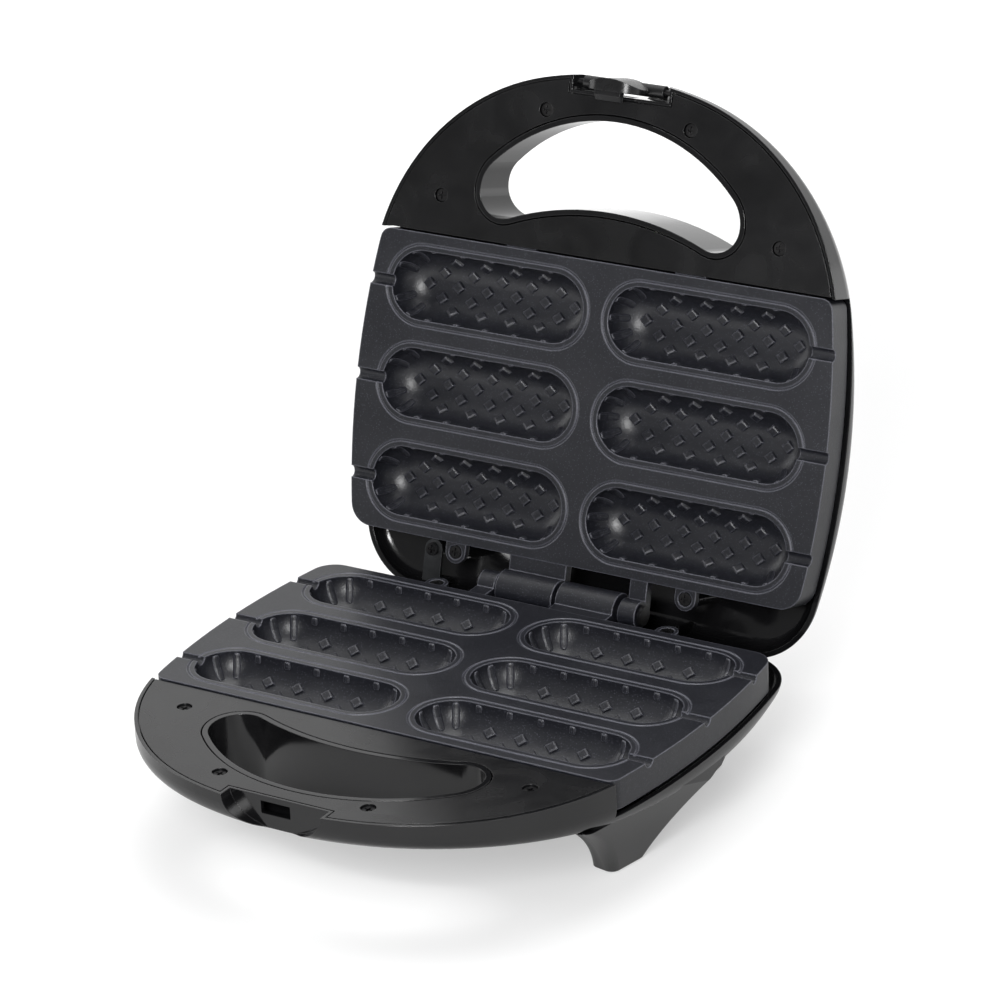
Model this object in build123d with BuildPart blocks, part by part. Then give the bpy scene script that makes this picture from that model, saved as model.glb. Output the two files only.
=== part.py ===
# Hot dog toaster with six cavities: two hinged halves that close on each other. Each half is a
# moulded body with a grip at the front, a cast cooking plate, a flat cover round the grip opening,
# a heating element and a heat shield. A clip on the lid holds the halves shut.
#
# Millimetres. Both halves are drawn shut: the mating plane is z = 0, the plates' rear edge is
# y = 0, the grip points towards -Y. The lid is the base's form mirrored about the gap between the
# plates. At the end every piece is moved to the resting frame, where the lid stands open on its
# stop and the origin is the middle of the whole object's outline on the table.

import os
from math import sqrt

from build123d import *

# Body seen from above: an arc on each side, a round nose at the grip, rounded rear corners
half_width = 113.0
widest_y = -62.0
side_radius = 371.5
nose_y = -201.9
nose_radius = 151.5
shoulder_share = 0.854
rear_y = 25.0
rear_corner_radius = 30.0

# Body seen from the side: one large sphere cuts the outside, and its edge is rounded
belly_depth = 40.0
belly_radius = 380.0
belly_y = -55.0
edge_radius = 9.0
shell_wall = 2.2

# Stance
mating_height = 54.5
mating_gap = 0.4
open_angle = 106.3
overrun = 5.0
running_gap = 0.05
seat_gap = 0.3

# Cooking plate
plate_inset = 1.5
plate_front_y = -126.3
plate_rear_corner = 10.0
plate_front_corner = 5.0
plate_thickness = 2.5
plate_skirt = 12.5
plate_wall = 2.2
cavity_end_margin = 14.35
cavity_middle_gap = 11.9
cavity_rows_y = (-21.6, -63.4, -104.4)
cavity_width = 29.0
cavity_depth = 13.0
cavity_rounding = 12.5
cavity_wall = 2.5
groove_margin = 3.0
groove_width = 0.8
groove_depth = 0.5
channel_radius = 2.4
channel_wall = 2.2

# Tongues that slip under the cover, at the plate's front edge
tongue_x = 40.0
tongue_width = 14.0
tongue_reach = 5.0
tongue_thickness = 2.5

# Ears that are screwed down behind the plate
ear_spacing = 17.5
ear_y = 4.0
ear_radius = 4.8
ear_drop = 1.2
ear_thickness = 3.0
ear_post_radius = 3.8

# Screws
screw_radius = 1.3
screw_length = 9.0
screw_head_radius = 2.7
screw_head_height = 1.8
screw_head_gap = 0.4
screw_hole_gap = 0.3
drive_width = 0.9
drive_length = 3.4
drive_depth = 1.0

# Covers round the grip
cover_drop = 0.6
cover_thickness = 2.0
cover_lip = 1.4
cover_gap = 0.6
side_cover_screw_inset = 33.5
side_cover_screw_y = -143.0
tip_cover_screw_place = (33.8, -184.4)
cover_cup_radius = 4.2
cover_cup_depth = 4.4
cover_post_radius = 3.5

# Grip opening: a kidney between two arcs, with a lining that belongs to the body
grip_side_margin = 52.0
grip_tip_margin = 18.5
grip_outer_radius = 79.0
grip_hump_margin = 55.2
grip_hump_radius = 125.0
grip_plate_corner = 11.0
grip_outer_corner = 16.0
grip_cover_gap = 0.6

# Recess for the clip in the grip's tip
recess_y = -194.0
recess_half_width = 22.6
recess_depth = 14.0
recess_lip = 1.1
catch_x = -2.0
catch_width = 13.3
catch_drop = 2.8
catch_height = 5.2

# Rims and stiffeners of the bodies
rim_drop = 14.5
seam_gap = 0.5
bulkhead_thickness = 1.6
bulkhead_setback = 1.9
bulkhead_side_margin = 17.0
rib_x = (18.0, 46.0)
rib_thickness = 1.6
rib_reach = 5.0

# Hinge: knuckles cast with the plates, on one pin
hinge_y = 13.5
hinge_drop = 1.6
knuckle_radius = 7.5
knuckle_gap = 1.0
barrel_length = 27.0
lug_gap = 1.5
lug_length = 8.0
lug_radius = 5.8
web_drop = 0.5
web_thickness = 4.5
pin_radius = 2.5
pin_head_radius = 4.2
pin_head_length = 1.5
clip_radius = 4.5
clip_thickness = 0.8
clip_groove_depth = 0.6
clip_gap = 0.3
pin_tip = 1.3

# Legs: slanted blades, moulded with the base body
sole_drop = 53.7
leg_root_drop = 18.0
leg_edge_inset = 0.8
leg_root_corner = 5.0
leg_sole_corner = 3.5
leg_waist_drop = 35.0
leg_root_thickness = 14.5
leg_waist_thickness = 13.2
leg_sole_thickness = 12.0
leg_sole_length = 20.0
front_leg_root_margin = 10.1
front_leg_root_y = -92.8
front_leg_root_length = 93.0
front_leg_waist_margin = 18.5
front_leg_waist_y = -94.2
front_leg_waist_length = 47.0
front_leg_sole_margin = 27.5
front_leg_sole_y = -91.0
front_leg_turn = -11.0
rear_leg_root_margin = 22.6
rear_leg_root_y = -9.6
rear_leg_root_length = 66.0
rear_leg_waist_margin = 29.5
rear_leg_waist_y = -8.8
rear_leg_waist_length = 36.0
rear_leg_sole_margin = 37.0
rear_leg_sole_y = -8.0
rear_leg_turn = 6.0
pad_size = (7.0, 15.0)
pad_corner = 3.0
pad_sunk = 1.5
pad_gap = 0.15

# Heat shield: a pressed dish between plate and body, screwed to the plate's middle posts
shield_inset = 5.0
shield_sheet = 0.8
shield_rim_drop = 13.5
shield_front_y = -122.0
shield_rear_y = -1.5
shield_pad_radius = 6.0
shield_pad_rise = 0.5
middle_post_radius = 4.0
shield_head_height = 1.5

# Heating element: a sheathed tube bent to a U, in saddles under the cavities
heater_radius = 3.3
heater_inset = 10.3
heater_front_y = -111.0
heater_rear_y = -4.0
heater_bend = 22.0
heater_pin_radius = 1.5
heater_pin_length = 6.0
saddle_width = 12.0
saddle_length = 14.0
saddle_depth = 1.9

# Thermostat and thermal fuse, on the underside of two cavities
thermostat_offset = 19.7
thermostat_radius = 8.0
thermostat_height = 4.5
thermostat_pad_drop = 1.0
thermostat_flange_radius = 7.0
thermostat_flange_height = 1.5
tab_width = 5.0
tab_thickness = 0.8
tab_length = 3.5
tab_spacing = 7.0
fuse_radius = 2.0
fuse_length = 11.0
fuse_lead_radius = 0.5
fuse_lead_length = 6.0
fuse_saddle_width = 6.5
fuse_saddle_length = 9.0
fuse_saddle_depth = 1.6

# Terminal block in the base's rear bay
block_size = (26.0, 9.0, 10.0)
block_y = 14.0
block_drop = 16.0
block_poles = 3
block_pitch = 8.0
block_screw_radius = 1.8
block_screw_depth = 5.0
block_wire_radius = 1.4

# Cord outlet in the base's rear wall
outlet_x = -57.0
outlet_drop = 24.0
outlet_radius = 6.5
outlet_length = 9.0
gland_radius = 4.2
gland_flange_radius = 5.0
gland_flange_length = 1.5
cord_hole_radius = 3.2

# Clip on the lid's tip
latch_pivot_y = -197.8
latch_pivot_rise = 4.5
latch_pin_radius = 1.25
latch_pin_half_length = 23.2
latch_bar_radius = 2.7
latch_bar_end_gap = 3.9
clip_half_width = 12.5
clip_back_y = -196.2
clip_side_y = -198.0
clip_front_y = -201.4
clip_top_rise = 6.0
clip_reach = 9.6
clip_corner = 8.0
tooth_width = 12.0
tooth_tip_y = -191.9
tooth_drop = 3.5
tooth_thickness = 3.0
tooth_tip_thickness = 1.4
tooth_nose = 2.2

# Lamps in the lid
lamp_y = -137.0
lamp_spacing = 20.0
lamp_radius = 3.5
lamp_proud = 0.9
lamp_flange_radius = 4.4
lamp_flange_height = 1.0
lamp_tail_length = 2.0
lamp_edge_radius = 0.7
holder_size = (42.0, 9.0, 3.5)
holder_post_x = 17.0
holder_post_radius = 2.5

# Bracket for the leads beside the lid's hinge
bracket_spacing = 11.8
bracket_y = 4.8
bracket_radius = 4.2
bracket_drop = 3.2
bracket_thickness = 1.5
bracket_reach = 14.0
bracket_flap = 9.0
bracket_post_radius = 3.4

# Derived places
shoulder_radius = shoulder_share * half_width
sphere_height = belly_radius - belly_depth
cavity_length = half_width - cavity_end_margin - cavity_middle_gap / 2
cavity_x = (cavity_middle_gap + cavity_length) / 2
heater_x = cavity_x - heater_inset
thermostat_x = cavity_x + thermostat_offset
fuse_x = -thermostat_x
grip_half_width = half_width - grip_side_margin
grip_outer_y = nose_y + grip_tip_margin + grip_outer_radius
grip_hump_y = nose_y + grip_hump_margin + grip_hump_radius
bulkhead_half_width = half_width - bulkhead_side_margin
step_y = plate_front_y - seam_gap / 2
cover_under_drop = cover_drop + cover_thickness
cover_cup_bottom = cover_drop + cover_cup_depth
ear_bottom_drop = ear_drop + ear_thickness
tongue_top_drop = cover_under_drop + seat_gap
tongue_bottom_drop = tongue_top_drop + tongue_thickness
cavity_bottom_drop = cavity_depth + cavity_wall
heater_drop = cavity_bottom_drop + heater_radius + running_gap
fuse_drop = cavity_bottom_drop + fuse_radius + running_gap
lug_start = knuckle_gap + barrel_length + lug_gap
lug_end = lug_start + lug_length
shield_screw_rows_y = [
    (rear + front) / 2 for rear, front in zip(cavity_rows_y[:-1], cavity_rows_y[1:])
]
cavity_places = [(side * cavity_x, row_y) for side in (-1, 1) for row_y in cavity_rows_y]
cover_screw_places = ((half_width - side_cover_screw_inset, side_cover_screw_y), tip_cover_screw_place)
cover_screw_xy = [(side * x, y) for side in (-1, 1) for x, y in cover_screw_places]
ear_x = lug_end + ear_spacing
ear_places = [(side * ear_x, ear_y) for side in (-1, 1)]
bracket_x = -ear_x - bracket_spacing
latch_bar_half_length = recess_half_width - latch_bar_end_gap


def belly_z(x, y, inset):
    """Height of the body's spherical underside, moved inwards by inset, at (x, y)."""
    return sphere_height - sqrt((belly_radius - inset) ** 2 - x**2 - (y - belly_y) ** 2)


def body_plan(inset, rear=rear_y, corner=rear_corner_radius):
    """Outline of the body from above, moved inwards by inset."""
    with BuildSketch() as plan:
        with Locations((0, nose_y + nose_radius)):
            Circle(nose_radius - inset)
        for side in (-1, 1):
            side_x = side * (half_width - side_radius)
            with Locations(Location((side_x, widest_y, 0), (0, 0, 90 + side * 90))):
                Circle(side_radius - inset, mode=Mode.INTERSECT)
        with Locations((0, rear - inset)):
            Rectangle(
                2 * half_width,
                rear - nose_y,
                align=(Align.CENTER, Align.MAX),
                mode=Mode.INTERSECT,
            )
        fillet(plan.vertices().group_by(Axis.Y)[-1], corner - inset)
        fillet(plan.vertices().group_by(Axis.Y)[0], shoulder_radius - inset)
    return plan.sketch


def pod(inset):
    """Solid form of the body below the mating plane, moved inwards by inset."""
    with BuildPart() as form:
        with BuildSketch():
            add(body_plan(inset))
        extrude(amount=-belly_depth)
        with Locations((0, belly_y, sphere_height)):
            Sphere(belly_radius - inset, rotation=(90, 0, 0), mode=Mode.INTERSECT)
        fillet(form.faces().filter_by(GeomType.SPHERE).edges(), edge_radius - inset)
    return form.part


def plate_plan(inset):
    """Outline of the cooking plate, moved inwards by inset."""
    with BuildSketch() as plan:
        add(body_plan(plate_inset + inset, plate_inset, plate_rear_corner + plate_inset))
        with Locations((0, plate_front_y + inset)):
            Rectangle(2 * half_width, -plate_front_y, align=(Align.CENTER, Align.MIN), mode=Mode.INTERSECT)
        fillet(plan.vertices().group_by(Axis.Y)[0], plate_front_corner - inset)
    return plan.sketch


def grip_plan(grow):
    """Outline of the grip opening, moved outwards by grow."""
    with BuildSketch() as plan:
        with Locations((0, grip_outer_y)):
            Circle(grip_outer_radius)
        with Locations((0, grip_hump_y)):
            Circle(grip_hump_radius, mode=Mode.SUBTRACT)
        with Locations((0, grip_outer_y)):
            Rectangle(2 * grip_half_width, 2 * grip_outer_radius, mode=Mode.INTERSECT)
        fillet(plan.vertices().group_by(Axis.Y)[-1], grip_plate_corner)
        fillet(plan.vertices().group_by(Axis.Y)[0], grip_outer_corner)
        if grow:
            offset(amount=grow)
    return plan.sketch


def cover_plan(gap):
    """Outline of the cover's seat in the body, with gap taken off all round."""
    with BuildSketch() as plan:
        add(body_plan(cover_lip + gap))
        with Locations((0, step_y - gap)):
            Rectangle(2 * half_width, step_y - nose_y, align=(Align.CENTER, Align.MAX), mode=Mode.INTERSECT)
        with Locations((0, recess_y + recess_lip + gap)):
            Rectangle(
                2 * (recess_half_width + recess_lip + gap),
                recess_y - nose_y + recess_lip,
                align=(Align.CENTER, Align.MAX),
                mode=Mode.SUBTRACT,
            )
        add(grip_plan(shell_wall + (grip_cover_gap if gap else 0)), mode=Mode.SUBTRACT)
    return plan.sketch


def recess_form(grow):
    """Half-round pocket in the grip's tip, with its walls moved outwards by grow."""
    with BuildPart() as form:
        with BuildSketch(Plane.XZ.offset(-recess_y - grow)):
            Ellipse(recess_half_width + grow, recess_depth + grow)
        extrude(amount=recess_y - nose_y + grow + overrun)
    return form.part


def shell_posts():
    """Posts on the body's floor for the ears and the cover, and the ribs of the rear bay."""
    with BuildPart() as posts:
        with Locations([(x, y, -ear_bottom_drop) for x, y in ear_places]):
            Cylinder(ear_post_radius, belly_depth, align=(Align.CENTER, Align.CENTER, Align.MAX))
        with Locations([(x, y, -cover_cup_bottom) for x, y in cover_screw_xy]):
            Cylinder(cover_post_radius, belly_depth, align=(Align.CENTER, Align.CENTER, Align.MAX))
        with Locations([(side * x, rear_y, -rim_drop) for side in (-1, 1) for x in rib_x]):
            Box(
                rib_thickness,
                shell_wall + rib_reach,
                belly_depth,
                align=(Align.CENTER, Align.MAX, Align.MAX),
            )
        with Locations((0, step_y - bulkhead_setback, -cover_under_drop)):
            Box(
                2 * bulkhead_half_width,
                bulkhead_thickness,
                belly_depth,
                align=(Align.CENTER, Align.MAX, Align.MAX),
            )
        with Locations([(side * tongue_x, step_y, -tongue_bottom_drop) for side in (-1, 1)]):
            Box(
                tongue_width + 2 * seat_gap,
                bulkhead_setback + bulkhead_thickness + overrun,
                belly_depth,
                align=(Align.CENTER, Align.CENTER, Align.MIN),
                mode=Mode.SUBTRACT,
            )
        add(pod(0), mode=Mode.INTERSECT)
    return posts.part


def half_shell():
    """Moulded body of one half, without what only the base or only the lid has."""
    outside = pod(0)
    inside = pod(shell_wall)
    posts = shell_posts()
    recess_lining = recess_form(shell_wall)
    recess = recess_form(0)
    with BuildPart() as linings:
        with BuildSketch():
            add(grip_plan(shell_wall))
        extrude(amount=-belly_depth)
        add(recess_lining)
        add(outside, mode=Mode.INTERSECT)
    with BuildPart() as half:
        add(outside)
        add(inside, mode=Mode.SUBTRACT)
        add(linings.part)
        add(posts)
        with BuildSketch():
            add(grip_plan(0))
        extrude(amount=-belly_depth, mode=Mode.SUBTRACT)
        add(recess, mode=Mode.SUBTRACT)
        with Locations((0, nose_y)):
            Box(
                2 * half_width,
                rear_y - nose_y + overrun,
                cover_drop,
                align=(Align.CENTER, Align.MIN, Align.MAX),
                mode=Mode.SUBTRACT,
            )
        with BuildSketch(Plane.XY.offset(-cover_drop)):
            add(cover_plan(0))
        extrude(amount=-cover_thickness, mode=Mode.SUBTRACT)
        with BuildSketch():
            with Locations((0, step_y)):
                Rectangle(2 * half_width, rear_y - step_y + overrun, align=(Align.CENTER, Align.MIN))
            with Locations(ear_places):
                Circle(ear_post_radius + running_gap, mode=Mode.SUBTRACT)
        extrude(amount=-rim_drop, mode=Mode.SUBTRACT)
        with Locations((catch_x, recess_y, -catch_drop)):
            Box(
                catch_width,
                2 * overrun,
                catch_height,
                align=(Align.CENTER, Align.CENTER, Align.MAX),
                mode=Mode.SUBTRACT,
            )
        screw_holes = [(x, y, -ear_bottom_drop) for x, y in ear_places]
        screw_holes += [(x, y, -cover_cup_bottom) for x, y in cover_screw_xy]
        with Locations(screw_holes):
            Cylinder(
                screw_radius + running_gap,
                screw_length,
                align=(Align.CENTER, Align.CENTER, Align.MAX),
                mode=Mode.SUBTRACT,
            )
    return half.part


def leg_form(margins, places_y, lengths, turn, inset):
    """Waisted blade from the body's edge to the sole, moved inwards by inset.

    Each list gives a value at the root, at the waist and at the sole.
    """
    drops = (leg_root_drop, leg_waist_drop, sole_drop - inset)
    thicknesses = (leg_root_thickness, leg_waist_thickness, leg_sole_thickness)
    corners = (leg_root_corner, leg_root_corner, leg_sole_corner)
    with BuildPart() as blade:
        for drop, thickness, corner, margin, y, length in zip(
            drops, thicknesses, corners, margins, places_y, lengths
        ):
            with BuildSketch(Plane.XY.offset(-drop)):
                with Locations(Location((half_width - margin, y, 0), (0, 0, turn))):
                    RectangleRounded(thickness - 2 * inset, length - 2 * inset, corner - inset)
        loft()
        with BuildSketch():
            add(body_plan(leg_edge_inset + inset))
        extrude(amount=-sole_drop, mode=Mode.INTERSECT)
    return blade.part


def leg_pair(inset):
    """The front and rear blades on the right, and their mirror images on the left."""
    front = leg_form(
        (front_leg_root_margin, front_leg_waist_margin, front_leg_sole_margin),
        (front_leg_root_y, front_leg_waist_y, front_leg_sole_y),
        (front_leg_root_length, front_leg_waist_length, leg_sole_length),
        front_leg_turn,
        inset,
    )
    rear = leg_form(
        (rear_leg_root_margin, rear_leg_waist_margin, rear_leg_sole_margin),
        (rear_leg_root_y, rear_leg_waist_y, rear_leg_sole_y),
        (rear_leg_root_length, rear_leg_waist_length, leg_sole_length),
        rear_leg_turn,
        inset,
    )
    with BuildPart() as blades:
        add(front)
        add(rear)
        mirror(about=Plane.YZ)
    return blades.part


def pad_planes(drop):
    """Planes of the four soles, drop below the mating plane and turned with the legs."""
    soles = (
        (front_leg_sole_margin, front_leg_sole_y, front_leg_turn),
        (rear_leg_sole_margin, rear_leg_sole_y, rear_leg_turn),
    )
    return [
        Plane(Location((side * (half_width - margin), y, -drop), (0, 0, side * turn)))
        for side in (-1, 1)
        for margin, y, turn in soles
    ]


def trough(length, width, depth, rounding):
    """Bath-shaped form that hangs from the plate's face."""
    with BuildPart() as form:
        with BuildSketch():
            SlotOverall(length, width)
        extrude(amount=-depth)
        fillet(form.faces().sort_by(Axis.Z)[0].edges(), rounding)
    return form.part


def knuckle(start, end, rise, radius):
    """Hinge barrel between two stations along X, with the web that joins it to the plate."""
    with BuildPart() as form:
        with BuildSketch(Plane.YZ.offset(start)):
            with Locations((hinge_y, rise)):
                Circle(radius)
            with Locations((-plate_wall, -web_drop)):
                Rectangle(hinge_y + plate_wall, web_thickness, align=(Align.MIN, Align.MAX))
        extrude(amount=end - start)
    return form.part


def cooking_plate(side, rise):
    """Casting with six cavities; its hinge axis lies rise above its face, its barrel on one side."""
    trough_outside = trough(
        cavity_length + 2 * cavity_wall,
        cavity_width + 2 * cavity_wall,
        cavity_bottom_drop,
        cavity_rounding + cavity_wall,
    )
    trough_inside = trough(cavity_length, cavity_width, cavity_depth, cavity_rounding)
    barrel_ends = sorted((side * knuckle_gap, side * (knuckle_gap + barrel_length)))
    lug_ends = sorted((-side * lug_start, -side * lug_end))
    knuckles = [
        knuckle(*barrel_ends, rise, knuckle_radius),
        knuckle(*lug_ends, rise, lug_radius),
    ]
    channel_end = cavity_x + cavity_length / 2 - channel_radius
    channel_places = [
        (side_x * channel_end, row_y, 0) for side_x in (-1, 1) for row_y in cavity_rows_y
    ]
    with BuildPart() as channel_ribs:
        with BuildSketch():
            with Locations([(x, y) for x, y, z in channel_places]):
                Rectangle(2 * (half_width - channel_end), 2 * (channel_radius + channel_wall))
            add(plate_plan(0), mode=Mode.INTERSECT)
        extrude(amount=-channel_radius - channel_wall)
    with BuildPart() as casting:
        with BuildSketch():
            add(plate_plan(0))
        extrude(amount=-plate_skirt)
        with BuildSketch(Plane.XY.offset(-plate_thickness)):
            add(plate_plan(plate_wall))
        extrude(amount=-plate_skirt, mode=Mode.SUBTRACT)
        with Locations(cavity_places):
            add(trough_outside)
        add(channel_ribs.part)
        for piece in knuckles:
            add(piece)
        with BuildSketch(Plane.XY.offset(-ear_drop)):
            with Locations(ear_places):
                Circle(ear_radius)
                Rectangle(2 * ear_radius, ear_y + plate_wall, align=(Align.CENTER, Align.MAX))
        extrude(amount=-ear_thickness)
        with Locations([(side_x * tongue_x, plate_front_y, -tongue_top_drop) for side_x in (-1, 1)]):
            Box(
                tongue_width,
                2 * tongue_reach,
                tongue_thickness,
                align=(Align.CENTER, Align.CENTER, Align.MAX),
            )
        for post_y in shield_screw_rows_y:
            post_bottom = belly_z(0, post_y, shield_inset + shield_sheet) + shield_pad_rise
            with Locations((0, post_y, post_bottom)):
                Cylinder(
                    middle_post_radius,
                    -post_bottom - plate_thickness / 2,
                    align=(Align.CENTER, Align.CENTER, Align.MIN),
                )
                Cylinder(
                    screw_radius + running_gap,
                    2 * screw_length,
                    mode=Mode.SUBTRACT,
                )
        saddle_places = [(side_x * heater_x, y) for side_x in (-1, 1) for y in cavity_rows_y[:2]]
        with Locations([(x, y, -cavity_depth) for x, y in saddle_places]):
            Box(
                saddle_width,
                saddle_length,
                cavity_wall + saddle_depth,
                align=(Align.CENTER, Align.CENTER, Align.MAX),
            )
        with Locations((thermostat_x, cavity_rows_y[1], -cavity_depth)):
            Cylinder(
                thermostat_radius,
                cavity_wall + thermostat_pad_drop,
                align=(Align.CENTER, Align.CENTER, Align.MAX),
            )
        with Locations((fuse_x, cavity_rows_y[0], -cavity_depth)):
            Box(
                fuse_saddle_length,
                fuse_saddle_width,
                cavity_wall + fuse_saddle_depth,
                align=(Align.CENTER, Align.CENTER, Align.MAX),
            )
        with Locations([(side_x * heater_x, 0, -heater_drop) for side_x in (-1, 1)]):
            Cylinder(
                heater_radius + running_gap,
                -heater_front_y * 2 - heater_bend,
                rotation=(90, 0, 0),
                mode=Mode.SUBTRACT,
            )
        with Locations((fuse_x, cavity_rows_y[0], -fuse_drop)):
            Cylinder(fuse_radius + running_gap, fuse_length, rotation=(0, 90, 0), mode=Mode.SUBTRACT)
        with Locations(cavity_places):
            add(trough_inside, mode=Mode.SUBTRACT)
        with Locations(channel_places):
            Cylinder(
                channel_radius,
                2 * (half_width - channel_end),
                rotation=(0, 90, 0),
                mode=Mode.SUBTRACT,
            )
        with BuildSketch():
            with Locations(cavity_places):
                SlotOverall(cavity_length + 2 * groove_margin, cavity_width + 2 * groove_margin)
                SlotOverall(
                    cavity_length + 2 * (groove_margin - groove_width),
                    cavity_width + 2 * (groove_margin - groove_width),
                    mode=Mode.SUBTRACT,
                )
        extrude(amount=-groove_depth, mode=Mode.SUBTRACT)
        with Locations((0, hinge_y, rise)):
            Cylinder(pin_radius + running_gap, 2 * half_width, rotation=(0, 90, 0), mode=Mode.SUBTRACT)
        with Locations([(x, y, -ear_drop) for x, y in ear_places]):
            CounterBoreHole(
                screw_radius + screw_hole_gap,
                screw_head_radius + screw_head_gap,
                screw_head_height,
                ear_thickness,
            )
    return casting.part


def inner_cover():
    """Flat moulded plate round the grip opening, with a cup for each screw."""
    with BuildPart() as cover:
        with BuildSketch(Plane.XY.offset(-cover_drop)):
            add(cover_plan(cover_gap))
        extrude(amount=-cover_thickness)
        with Locations([(x, y, -cover_drop) for x, y in cover_screw_xy]):
            Cylinder(cover_cup_radius, cover_cup_depth, align=(Align.CENTER, Align.CENTER, Align.MAX))
        with Locations([(x, y, -cover_drop) for x, y in cover_screw_xy]):
            CounterBoreHole(
                screw_radius + screw_hole_gap,
                screw_head_radius + screw_head_gap,
                cover_cup_depth - screw_head_height,
                cover_cup_depth,
            )
    return cover.part


def heat_shield():
    """Pressed dish with a flat pad for each of its two screws."""
    outside = pod(shield_inset)
    inside = pod(shield_inset + shield_sheet)
    with BuildPart() as hollow:
        add(inside)
        with Locations((0, shield_front_y + shield_sheet)):
            Box(
                2 * half_width,
                rear_y - shield_front_y,
                2 * belly_depth,
                align=(Align.CENTER, Align.MIN, Align.CENTER),
                mode=Mode.INTERSECT,
            )
    with BuildPart() as dish:
        add(outside)
        with Locations((0, shield_front_y, -shield_rim_drop)):
            Box(
                2 * half_width,
                shield_rear_y - shield_front_y,
                belly_depth,
                align=(Align.CENTER, Align.MIN, Align.MAX),
                mode=Mode.INTERSECT,
            )
        add(hollow.part, mode=Mode.SUBTRACT)
        for post_y in shield_screw_rows_y:
            pad_top = belly_z(0, post_y, shield_inset + shield_sheet) + shield_pad_rise
            pad_bottom = belly_z(0, post_y, shield_inset) - shield_pad_rise
            with Locations((0, post_y, pad_bottom)):
                Cylinder(
                    shield_pad_radius,
                    pad_top - pad_bottom,
                    align=(Align.CENTER, Align.CENTER, Align.MIN),
                )
                Cylinder(
                    screw_radius + screw_hole_gap,
                    shield_pad_radius,
                    mode=Mode.SUBTRACT,
                )
    return dish.part


def heater():
    """Sheathed tube bent to a U, with a connecting pin in each end."""
    with BuildPart() as element:
        with BuildLine():
            path = FilletPolyline(
                (-heater_x, heater_rear_y, -heater_drop),
                (-heater_x, heater_front_y, -heater_drop),
                (heater_x, heater_front_y, -heater_drop),
                (heater_x, heater_rear_y, -heater_drop),
                radius=heater_bend,
            )
        with BuildSketch(Plane(origin=path @ 0, z_dir=path % 0)):
            Circle(heater_radius)
        sweep()
        with Locations([(side * heater_x, heater_rear_y, -heater_drop) for side in (-1, 1)]):
            Cylinder(heater_pin_radius, 2 * heater_pin_length, rotation=(90, 0, 0))
    return element.part


def thermostat():
    """Flat disc thermostat with two connecting tabs."""
    top = -cavity_bottom_drop - thermostat_pad_drop
    with BuildPart() as disc:
        with Locations((thermostat_x, cavity_rows_y[1], top)):
            Cylinder(
                thermostat_flange_radius,
                thermostat_height,
                align=(Align.CENTER, Align.CENTER, Align.MAX),
            )
            Cylinder(
                thermostat_radius,
                thermostat_flange_height,
                align=(Align.CENTER, Align.CENTER, Align.MAX),
            )
        with Locations((thermostat_x, cavity_rows_y[1], top - thermostat_height)):
            with GridLocations(tab_spacing, tab_spacing, 2, 1):
                Box(
                    tab_thickness,
                    tab_width,
                    tab_length,
                    align=(Align.CENTER, Align.CENTER, Align.MAX),
                )
    return disc.part


def screws(places, length, head_height):
    """Cross-head screws that point down, one for each place of a head's underside."""
    with BuildPart() as group:
        with Locations(places):
            Cylinder(screw_head_radius, head_height, align=(Align.CENTER, Align.CENTER, Align.MIN))
            Cylinder(screw_radius, length, align=(Align.CENTER, Align.CENTER, Align.MAX))
        with BuildSketch(Plane.XY.offset(places[0][2] + head_height)):
            with Locations([(x, y) for x, y, z in places]):
                Rectangle(drive_length, drive_width)
                Rectangle(drive_width, drive_length)
        extrude(amount=-drive_depth, mode=Mode.SUBTRACT)
    return group.part


def shield_screws():
    """The two screws that hold the heat shield up against the plate's middle posts."""
    with BuildPart() as group:
        for post_y in shield_screw_rows_y:
            pad_bottom = belly_z(0, post_y, shield_inset) - shield_pad_rise
            with Locations((0, post_y, pad_bottom)):
                Cylinder(
                    screw_head_radius,
                    shield_head_height,
                    align=(Align.CENTER, Align.CENTER, Align.MAX),
                )
                Cylinder(screw_radius, screw_length, align=(Align.CENTER, Align.CENTER, Align.MIN))
    return group.part


def ear_screws():
    """The two screws that hold a plate's ears."""
    head_seats = [(x, y, -ear_drop - screw_head_height) for x, y in ear_places]
    return screws(head_seats, screw_length, screw_head_height)


def cover_screws():
    """The four screws that hold a cover."""
    head_seat = -cover_drop - cover_cup_depth + screw_head_height
    return screws([(x, y, head_seat) for x, y in cover_screw_xy], screw_length, screw_head_height)


def lamp_lens(side):
    """Lens with a domed end outside the lid, and a flange and a tail inside."""
    with BuildPart() as lens:
        with Locations(lamp_plane):
            with Locations((side * lamp_spacing / 2, 0, holder_z - lamp_tail_length)):
                Cylinder(
                    lamp_radius,
                    lamp_proud + lamp_tail_length - holder_z,
                    align=(Align.CENTER, Align.CENTER, Align.MIN),
                )
        fillet(lens.edges().sort_by(Axis.Z)[0], lamp_edge_radius)
        with Locations(lamp_plane):
            with Locations((side * lamp_spacing / 2, 0, holder_z)):
                Cylinder(
                    lamp_flange_radius,
                    lamp_flange_height,
                    align=(Align.CENTER, Align.CENTER, Align.MIN),
                )
    return lens.part


# Plane on the outside of the lid's form where the lamps look out
lamp_z = belly_z(0, lamp_y, 0)
lamp_plane = Plane(
    origin=(0, lamp_y, lamp_z),
    x_dir=(1, 0, 0),
    z_dir=(0, lamp_y - belly_y, lamp_z - sphere_height),
)
holder_z = -shell_wall - seat_gap - lamp_flange_height

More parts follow.
